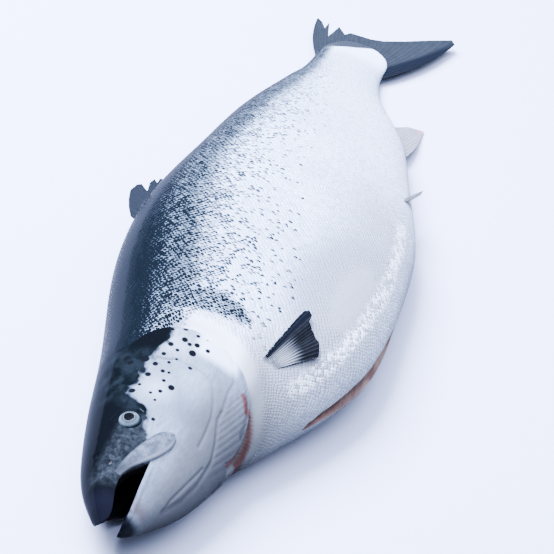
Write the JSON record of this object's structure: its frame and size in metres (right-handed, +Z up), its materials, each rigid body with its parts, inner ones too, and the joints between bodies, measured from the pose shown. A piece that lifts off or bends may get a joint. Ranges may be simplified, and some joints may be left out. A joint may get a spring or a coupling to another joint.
{
  "type": "whole gutted salmon",
  "caption": "Whole raw gutted salmon lying on its side, head on, with scaly silver flank, spotted gill covers, open mouth, cut belly and forked tail.",
  "frame": {"origin": "on the floor, under the middle of the fish's outline as it lies on its right side", "axes": "+X towards the tail, +Y towards the back, +Z up out of the left flank; the head is at -X and the belly at -Y"},
  "size_m": [0.7934, 0.2056, 0.09],
  "materials": {
    "skin": "wet silvery skin, dark blue back, pink flesh at the belly cut",
    "eye": "wet, clear over a black pupil and a silver ring"
  },
  "bodies": {
    "root": {"salmon": "skin", "eye_left": "eye", "eye_right": "eye"}
  },
  "joints": []
}
